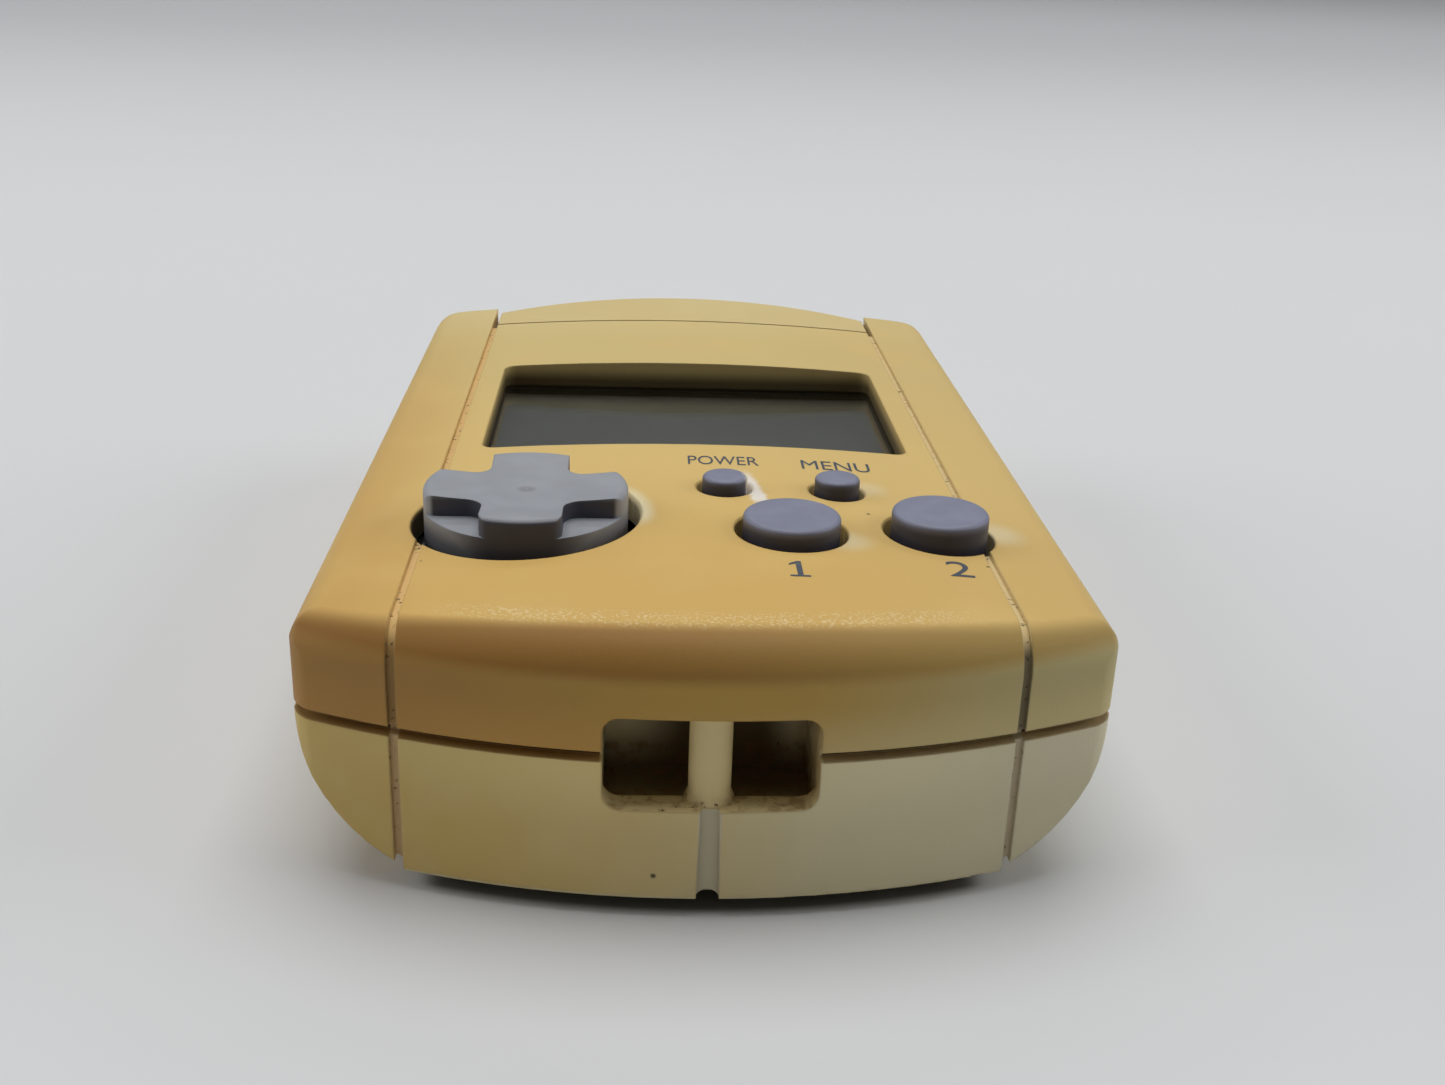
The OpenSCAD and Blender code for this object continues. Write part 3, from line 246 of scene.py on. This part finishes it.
material, tree, shader, place, x, y, z = new_material("front_abs")
seen = plan(tree, x, y)
width = calc(tree, "ABSOLUTE", x)
top = blend(tree, ramp(tree, y, -33.0, -9.0), "#D2AC62", "#D9BA75")
top = blend(tree, ramp(tree, y, -9.0, 20.0), top, "#D0B97C")
top = blend(tree, ramp(tree, y, 20.0, 36.0), top, "#D5C28A")
top = blend(tree, ramp(tree, x, 2.0, 22.0, 0.5), top, "#CEB173")
left = both(tree, ramp(tree, x, -15.0, -22.0, 0.6), ramp(tree, y, 50.0, -10.0))
top = blend(tree, left, top, "#C59B58")
# The near end is browner than the sides. It is painted darker just under its edge and lighter
# towards the parting line: painted shade and painted light.
end = blend(tree, ramp(tree, x, -21.0, 2.0), "#A57D43", "#BA9549")
end = blend(tree, ramp(tree, x, 2.0, 21.0), end, "#B8AB7A")
low = blend(tree, ramp(tree, x, -21.0, -9.0), "#B08446", "#C3944C")
low = blend(tree, ramp(tree, x, -9.0, 12.0), low, "#CDBA84")
end = blend(tree, ramp(tree, z, 12.6, 9.4, 0.7), end, low)
side = blend(tree, ramp(tree, x, -10.0, 10.0), "#CDAC68", "#CFB87E")
side = blend(tree, ramp(tree, y, -24.0, -34.0), side, end)
colour = blend(tree, ramp(tree, z, 15.0, 13.2), top, side)
cloud = ramp(tree, noise(tree, place, 9.0), 0.45, 0.75, 0.35)
colour = blend(tree, both(tree, cloud, ramp(tree, z, 13.0, 15.0)), colour, "#DCBD77")
# Pale patches beside three buttons and a pale ring round the right of the pad, the rub mark
# and dark pits. The ring is partly less yellowed plastic and partly painted light on the right
# wall of the pad's hole.
patches = (
    ((18.7, -21.4, 15.2), 0.4, 2.6, 0.5),
    ((8.7, -24.6, 15.8), 0.4, 2.2, 0.45),
    ((11.2, -15.0, 15.7), 0.3, 2.0, 0.35),
)
for centre, inner, outer, share in patches:
    colour = blend(tree, spot(tree, place, centre, inner, outer, share), colour, "#E6DDBC")
# Painted light on the right wall of the pad's hole, with less yellowed plastic round it.
ring = spot(tree, seen, PAD_CENTRE, PAD_HOLE_R + 0.25, PAD_HOLE_R + 1.25)
ring = both(tree, ring, ramp(tree, x, -5.6, -4.2, 0.8), ramp(tree, y, -23.5, -21.0))
colour = blend(tree, ring, colour, "#E3D8B2")
colour = smear(tree, place, x, y, colour)
pits = (((10.7, -19.7, 15.8), 0.2), ((17.0, -27.2, 15.3), 0.16), ((-16.9, -27.5, 15.3), 0.1))
for centre, radius in pits:
    colour = blend(tree, spot(tree, place, centre, 0.5 * radius, radius, 0.8), colour, "#4A3B26")
# A worn band just before the near edge, with pale specks in it that are painted glints, and a
# painted shade in a brown band over the edge itself.
# Between the grooves that edge is an arc round EDGE_CENTRE, flatter than the end's own.
worn = spot(tree, seen, END_CENTRE, END_R - 2.9, END_R - 1.9)
worn = calc(tree, "SUBTRACT", worn, spot(tree, seen, END_CENTRE, END_R - 4.6, END_R - 3.4))
worn = both(tree, worn, ramp(tree, z, 13.6, 14.4), ramp(tree, width, 17.0, 11.0))
painted_glints = both(tree, worn, ramp(tree, noise(tree, place, 0.2, 3.0), 0.5, 0.64, 0.5))
edge = calc(tree, "SUBTRACT", 1.0, spot(tree, seen, EDGE_CENTRE, 64.9, 66.3))
edge = both(tree, edge, ramp(tree, width, 17.6, 17.2))
rim = calc(tree, "SUBTRACT", 1.0, spot(tree, seen, END_CENTRE, END_R - 2.1, END_R - 0.8))
edge = calc(tree, "MAXIMUM", edge, rim)
edge = both(tree, edge, ramp(tree, z, 13.2, 14.2), ramp(tree, y, -20.0, -28.0, 0.9))
# The brown band over the near edge is a painted shade.
brown = blend(tree, ramp(tree, x, -10.0, 20.0), "#8E632A", "#A4884C")
colour = blend(tree, edge, colour, brown)
colour = blend(tree, painted_glints, colour, "#F0E0B4")
# The window's walls and the left wall of the pad's hole are painted dark, a painted shade.
window = ramp(tree, width, WINDOW_HALF + 0.2, WINDOW_HALF + 0.1)
window = both(tree, window, ramp(tree, y, WINDOW_NEAR - 0.23, WINDOW_NEAR - 0.13))
window = both(tree, window, ramp(tree, y, WINDOW_FAR + 0.23, WINDOW_FAR + 0.13))
window = both(tree, window, ramp(tree, z, 15.6, 14.2, 0.85))
colour = blend(tree, window, colour, "#2A2214")
hole = spot(tree, seen, PAD_CENTRE, PAD_HOLE_R + 0.05, PAD_HOLE_R + 0.15)
hole = both(tree, hole, ramp(tree, z, 15.6, 15.0, 0.9), ramp(tree, x, -8.0, -12.0))
colour = blend(tree, hole, colour, "#33261A")
colour = recess_walls(tree, place, x, y, z, colour)
dirt = blend(tree, ramp(tree, x, -9.0, 9.0), "#AD8B58", "#8A7E62")
pale = blend(tree, ramp(tree, x, -9.0, 9.0), "#E2C080", "#E2CC98")
colour = grooves(tree, place, x, colour, blend(tree, ramp(tree, z, 13.8, 14.8), dirt, pale))
roughness = calc(tree, "SUBTRACT", 0.55, calc(tree, "MULTIPLY", worn, 0.2))
coat(tree, shader, colour, roughness, 0.2)
grain(tree, shader, place, 0.16, 0.014)
skin("front_shell", "front_case", "case", material)


# Rear shell. The same ABS, yellowed less and unevenly: khaki to the left and nearly grey to
# the right, and painted darker towards the bottom, a painted shade. Its tongue and the ledge
# under it are painted brown in the gap along the parting line, which the recess breaks: part
# dirt, part painted shade.
REAR_TOP = 8.85
material, tree, shader, place, x, y, z = new_material("rear_abs")
width = calc(tree, "ABSOLUTE", x)
colour = blend(tree, ramp(tree, x, -22.0, -6.0), "#CAAF68", "#E0C886")
colour = blend(tree, ramp(tree, x, -6.0, 9.0), colour, "#E0D4AA")
colour = blend(tree, ramp(tree, x, 9.0, 21.0), colour, "#D3CAAA")
# Painted shade: darker towards the bottom.
low = blend(tree, ramp(tree, x, -14.0, 12.0), "#C4A45C", "#C6BD9A")
colour = blend(tree, ramp(tree, z, 8.5, 4.0, 0.6), colour, low)
cloud = ramp(tree, noise(tree, place, 7.0), 0.45, 0.75, 0.15)
colour = blend(tree, cloud, colour, "#DDD2AC")
colour = blend(tree, ramp(tree, z, 0.6, 0.1), colour, "#D8CCA3")
trough = both(tree, ramp(tree, width, 0.68, 0.58), ramp(tree, z, 5.9, 5.8))
trough = both(tree, trough, ramp(tree, y, -39.0, -39.3))
colour = blend(tree, trough, colour, "#CCC2A6")
pit = spot(tree, place, (-3.05, -39.9, 1.8), 0.08, 0.22, 0.9)
colour = blend(tree, pit, colour, "#3B3222")
colour = recess_walls(tree, place, x, y, z, colour)
# Brown ledge and tongue in the parting gap: part dirt, part painted shade.
beside = ramp(tree, width, RECESS_HALF + 0.06, RECESS_HALF + 0.16)
ledge = ramp(tree, z, REAR_TOP - 0.07, REAR_TOP - 0.02)
tongue = ramp(tree, z, REAR_TOP + 0.03, REAR_TOP + 0.11)
brown = blend(tree, ramp(tree, x, -9.0, 9.0), "#B08E54", "#BCA880")
colour = blend(tree, both(tree, beside, ledge), colour, brown)
colour = blend(tree, both(tree, beside, tongue), colour, "#52360F")
dirt = blend(tree, ramp(tree, x, -9.0, 9.0), "#D4B787", "#CEC1A2")
coat(tree, shader, grooves(tree, place, x, colour, dirt), 0.55, 0.3)
grain(tree, shader, place, 0.16, 0.012)
skin("rear_shell", "rear_case", "case", material)


# Connector cap and battery cover. Moulded in the same ABS as the shells; the cap slides
# over the plug and the cover is held by one screw.
def dress(material, *names):
    """Give CAD nodes this material as their only one."""
    for name in names:
        nodes[name].data.materials.clear()
        nodes[name].data.materials.append(material)


material, tree, shader, place, x, y, z = new_material("cap_abs")
colour = blend(tree, ramp(tree, z, 4.0, 12.0), "#D8CCA4", "#D2BC82")
colour = blend(tree, ramp(tree, noise(tree, place, 8.0), 0.4, 0.7, 0.5), colour, "#D5C28A")
coat(tree, shader, colour, 0.55, 0.4)
grain(tree, shader, place, 0.16, 0.012)
skin("cap_shell", "connector_cap", "cap", material)

material, tree, shader, place, x, y, z = new_material("cover_abs")
colour = blend(tree, ramp(tree, noise(tree, place, 8.0), 0.4, 0.7), "#D6CAA2", "#DACFA8")
coat(tree, shader, colour, 0.55, 0.4)
grain(tree, shader, place, 0.16, 0.012)
dress(material, "battery_cover")


# Direction pad. Neutral grey ABS, one moulding with a dished cross over a round body; it
# rocks on a ball under the front. Grime and a painted shade darken its upright sides, and a
# painted shade darkens the dimple in its middle.
def grime_and_shade(tree, share, colour):
    """Dark film of this share on upright faces, part grime and part painted shade."""
    normal = add(tree, "NewGeometry").outputs["Normal"]
    facing = add(tree, "SeparateXYZ", {0: normal}).outputs[2]
    return blend(tree, both(tree, ramp(tree, facing, 0.75, 0.35), share), colour, "#2B2B3B")


material, tree, shader, place, x, y, z = new_material("pad_abs")
colour = blend(tree, ramp(tree, noise(tree, place, 3.0), 0.35, 0.7), "#92959B", "#999CA2")
# Painted shade with grime on the notch walls and the near arm's front face near the top, and on the
# lower sides.
notch = spot(tree, plan(tree, x, y), PAD_CENTRE, 6.0, 6.25)
off = calc(tree, "ABSOLUTE", calc(tree, "SUBTRACT", x, PAD_CENTRE[0]))
front = both(tree, ramp(tree, off, 5.5, 1.8), ramp(tree, y, -24.0, -25.0))
upper = both(tree, calc(tree, "MAXIMUM", notch, front), ramp(tree, z, 18.1, 17.4, 0.9))
lower = ramp(tree, z, 17.0, 15.0, 0.65)
colour = grime_and_shade(tree, calc(tree, "MAXIMUM", upper, lower), colour)
# A darker spot over the middle dimple, a painted shade.
dimple = spot(tree, place, (*PAD_CENTRE[:2], 17.4), 0.3, 0.75, 0.4)
colour = blend(tree, dimple, colour, "#66666B")
coat(tree, shader, colour, 0.5, 0.4)
grain(tree, shader, place, 0.12, 0.008)
skin("pad_cross", "direction_pad", "pad", material)
dress(material, "dpad_pivot")


# Push buttons. Lavender-grey ABS keys with rounded top edges, kept in by collars. The rub
# mark on the front runs over the left small one.
material, tree, shader, place, x, y, z = new_material("button_abs")
colour = blend(tree, ramp(tree, noise(tree, place, 2.0), 0.35, 0.7), "#7D8093", "#84879B")
# Grime and a painted shade darken the lower parts of their upright sides.
colour = grime_and_shade(tree, ramp(tree, z, 17.1, 16.3, 0.92), colour)
coat(tree, shader, smear(tree, place, x, y, colour), 0.45, 0.4)
grain(tree, shader, place, 0.12, 0.006)
for key in ("left_action", "right_action", "left_small", "right_small"):
    skin(key + "_key", key + "_button", key, material)


# Printed marks. Slate ink, pad-printed on the front beside the buttons: a number under each
# action button and a plain word above each small one.
CROWN_R = 205.0
FRONT_Z = 16.0
INK_LIFT = 0.015
material, tree, shader, place, x, y, z = new_material("slate_ink")
faded = ramp(tree, noise(tree, place, 0.5, 3.0), 0.55, 0.8, 0.5)
coat(tree, shader, blend(tree, faded, "#3E4652", "#6E6E62"), 0.6)


def mark(name, mesh, centre, height, width):
    """Flat shape, height by width mm about centre in the plan, laid on the crown:
    z = front - r + sqrt(r^2 - x^2), and lifted by the thickness of the ink."""
    points = np.empty(len(mesh.vertices) * 3, np.float32)
    mesh.vertices.foreach_get("co", points)
    points = points.reshape(-1, 3)
    low, high = points[:, :2].min(0), points[:, :2].max(0)
    points[:, :2] = (points[:, :2] - (low + high) / 2) / (high - low) * (width, height) + centre
    points[:, 2] = FRONT_Z - CROWN_R + np.sqrt(CROWN_R ** 2 - points[:, 0] ** 2) + INK_LIFT
    mesh.vertices.foreach_set("co", (points * MM).ravel())
    mesh.materials.append(material)
    piece = bpy.data.objects.new(name, mesh)
    bpy.context.scene.collection.objects.link(piece)
    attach(piece, "case")


def letters(text):
    """Mesh of the text in the built-in font."""
    curve = bpy.data.curves.new(text, "FONT")
    curve.body = text
    curve.resolution_u = 6
    shaped = bpy.data.objects.new(text, curve)
    mesh = bpy.data.meshes.new_from_object(shaped)
    bpy.data.objects.remove(shaped)
    return mesh


# The 1 has a foot and a slanted flag; its corners run round from the foot's lower left.
outline = [(0, 0), (10, 0), (10, 2), (6.6, 2), (6.6, 20), (4.6, 20),
           (0.4, 16.6), (0.4, 14.4), (3.8, 16.8), (3.8, 2), (0, 2)]
one = bpy.data.meshes.new("one")
one.from_pydata([(*corner, 0) for corner in outline], [], [range(len(outline))])
mark("left_number", one, (5.3, -29.4), 2.3, 1.2)
mark("right_number", letters("2"), (15.1, -28.0), 2.3, 1.5)
mark("left_word", letters("POWER"), (1.75, -10.4), 1.8, 4.9)
mark("right_word", letters("MENU"), (9.6, -10.6), 1.8, 4.8)


# Display. A clear, faintly hazed lens over a black frame and the grey-green glass of the
# unlit panel. Lens and panel are the CAD solids.
material, tree, shader, place, x, y, z = new_material("clear_plastic")
shader.inputs["Transmission Weight"].default_value = 1.0
shader.inputs["IOR"].default_value = 1.49
haze = ramp(tree, noise(tree, place, 4.0), 0.4, 0.8, 0.04)
tree.links.new(haze, shader.inputs["Roughness"])
dress(material, "display_lens")

material, tree, shader, place, x, y, z = new_material("lcd_glass")
colour = blend(tree, ramp(tree, noise(tree, place, 6.0), 0.4, 0.7), "#818378", "#85877E")
coat(tree, shader, colour, 0.35)
dress(material, "lcd_panel")


# Pieces inside the case. Each takes a plain procedural finish: plastic, rubber, board
# lacquer, ceramic, steel, brass or gold, with a little unevenness. Each row gives two
# colours, the roughness, the metallic share and the nodes.
inner = {
    "steel": ("#8F9296", "#A4A7AB", 0.3, 1.0, ["battery_cover_screw", "case_screws", "board_screws"]),
    "frame_black": ("#262623", "#2F2F2B", 0.5, 0.0, ["lcd_frame"]),
    "strip_rubber": ("#D3B2AA", "#DCC0B8", 0.7, 0.0, ["lcd_contact_strips"]),
    "board_lacquer": ("#2A6237", "#347242", 0.35, 0.0, ["circuit_board"]),
    "chip_epoxy": ("#1A1B1D", "#232426", 0.55, 0.0, ["controller_chip"]),
    "can_metal": ("#B4B7BB", "#C2C5C9", 0.28, 1.0, ["crystal"]),
    "ceramic": ("#35332F", "#45423D", 0.5, 0.0, ["small_components"]),
    "white_rubber": ("#D5D0C4", "#DEDACF", 0.65, 0.0, ["dpad_membrane", "button_membrane"]),
    "carbon_rubber": ("#161616", "#222222", 0.8, 0.0, ["carbon_contacts"]),
    "plug_plastic": ("#36373B", "#3F4045", 0.5, 0.0, ["connector_housing"]),
    "gold": ("#C49C45", "#D0AA55", 0.28, 1.0, ["connector_contacts"]),
    "cell_steel": ("#AEB1B5", "#BDC0C4", 0.3, 1.0, ["near_coin_cell", "far_coin_cell"]),
    "spring_metal": ("#BFAC74", "#CDBB86", 0.32, 1.0,
                     ["battery_plus_contacts", "battery_minus_contacts"]),
    "brass": ("#B08A38", "#C09A48", 0.3, 1.0, ["buzzer_disc"]),
    "foam": ("#333333", "#474747", 0.9, 0.0, ["buzzer_pad"]),
}
for name, (dark, pale, roughness, metallic, users) in inner.items():
    material, tree, shader, place, x, y, z = new_material(name)
    coat(tree, shader, blend(tree, noise(tree, place, 1.5, 3.0), dark, pale), roughness)
    shader.inputs["Metallic"].default_value = metallic
    dress(material, *users)


# Floor. Plain pale paper with a painted shade that darkens it far behind, and a painted shadow
# right under the case. As in the photo, the case stands a fraction of a millimetre clear of it.
FLOOR_Z = -0.9 * MM
FLOOR_SIDE = 3.0
FLOOR_NEAR = -2.0
FLOOR_FAR = 4.0
material, tree, shader, place, x, y, z = new_material("paper")
colour = blend(tree, noise(tree, place, 60.0), "#D5D6D7", "#D7D8D9")
# Painted shade: darker far behind.
colour = blend(tree, ramp(tree, y, 60.0, 700.0), colour, "#AFB0B2")
colour = blend(tree, ramp(tree, y, 600.0, 1250.0), colour, "#A0A1A3")
# A painted shadow right under the case.
under = spot(tree, place, END_CENTRE, END_R - 1.0, END_R - 0.2)
under = both(tree, under, ramp(tree, calc(tree, "ABSOLUTE", x), 17.0, 15.0))
colour = blend(tree, both(tree, under, ramp(tree, y, 38.0, 30.0, 0.8)), colour, "#4A4845")
coat(tree, shader, colour, 0.9, 0.2)
corners = [(-FLOOR_SIDE, FLOOR_NEAR), (FLOOR_SIDE, FLOOR_NEAR)]
corners += [(FLOOR_SIDE, FLOOR_FAR), (-FLOOR_SIDE, FLOOR_FAR)]
mesh = bpy.data.meshes.new("floor")
mesh.from_pydata([(*corner, FLOOR_Z) for corner in corners], [], [(0, 1, 2, 3)])
mesh.materials.append(material)
floor = bpy.data.objects.new("floor", mesh)
bpy.context.scene.collection.objects.link(floor)
floor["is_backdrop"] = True


# Light. A large soft light overhead, a little behind the object, a weak strip lower behind it
# that catches the near edge, two weak fills at the sides, and a dim even room.
def area_light(name, wide, deep, watts, place, turn=0.0, axis="X"):
    """Rectangular light, wide by deep m, at place and turned by turn degrees from facing down."""
    lamp = bpy.data.lights.new(name, "AREA")
    lamp.shape = "RECTANGLE"
    lamp.size = wide
    lamp.size_y = deep
    lamp.energy = watts
    light = bpy.data.objects.new(name, lamp)
    light.matrix_world = Matrix.Translation(place) @ Matrix.Rotation(math.radians(turn), 4, axis)
    bpy.context.scene.collection.objects.link(light)


area_light("softbox", 1.8, 1.6, 28.0, (0.0, 0.5, 2.0))
area_light("back_strip", 1.4, 0.15, 2.5, (0.0, 1.15, 1.0), -49.0)
area_light("left_fill", 1.2, 1.6, 15.0, (-2.0, 0.2, 1.0), -63.0, "Y")
area_light("right_fill", 1.2, 1.6, 15.0, (2.0, 0.2, 1.0), 63.0, "Y")

world = bpy.data.worlds.new("room")
world.use_nodes = True
background = world.node_tree.nodes["Background"]
background.inputs["Color"].default_value = linear("#E2E4E8")
background.inputs["Strength"].default_value = 0.15
bpy.context.scene.world = world


# Camera. Where the photo was taken from: its place in mm, its three directions, and a focal
# length in pixels of the photo's 1445 across.
FOCAL_PIXELS = 1566.25
PHOTO_PIXELS = 1445
SENSOR = 36.0
RIGHT = (0.99826, -0.04751, 0.03479)
UP = (-0.01443, 0.37534, 0.92678)
AHEAD = (0.05708, 0.92567, -0.37400)
EYE = (-4.427, -113.428, 51.467)
lens = bpy.data.cameras.new("camera")
lens.sensor_width = SENSOR
lens.lens = SENSOR * FOCAL_PIXELS / PHOTO_PIXELS
lens.clip_start = 0.005
lens.clip_end = 20.0
turn = np.eye(4)
turn[:3] = np.array((RIGHT, UP, np.negative(AHEAD), np.multiply(EYE, MM))).T
camera = bpy.data.objects.new("camera", lens)
camera.matrix_world = Matrix(turn.tolist())
bpy.context.scene.collection.objects.link(camera)
bpy.context.scene.camera = camera
bpy.context.scene.view_settings.view_transform = "Standard"

low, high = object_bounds()
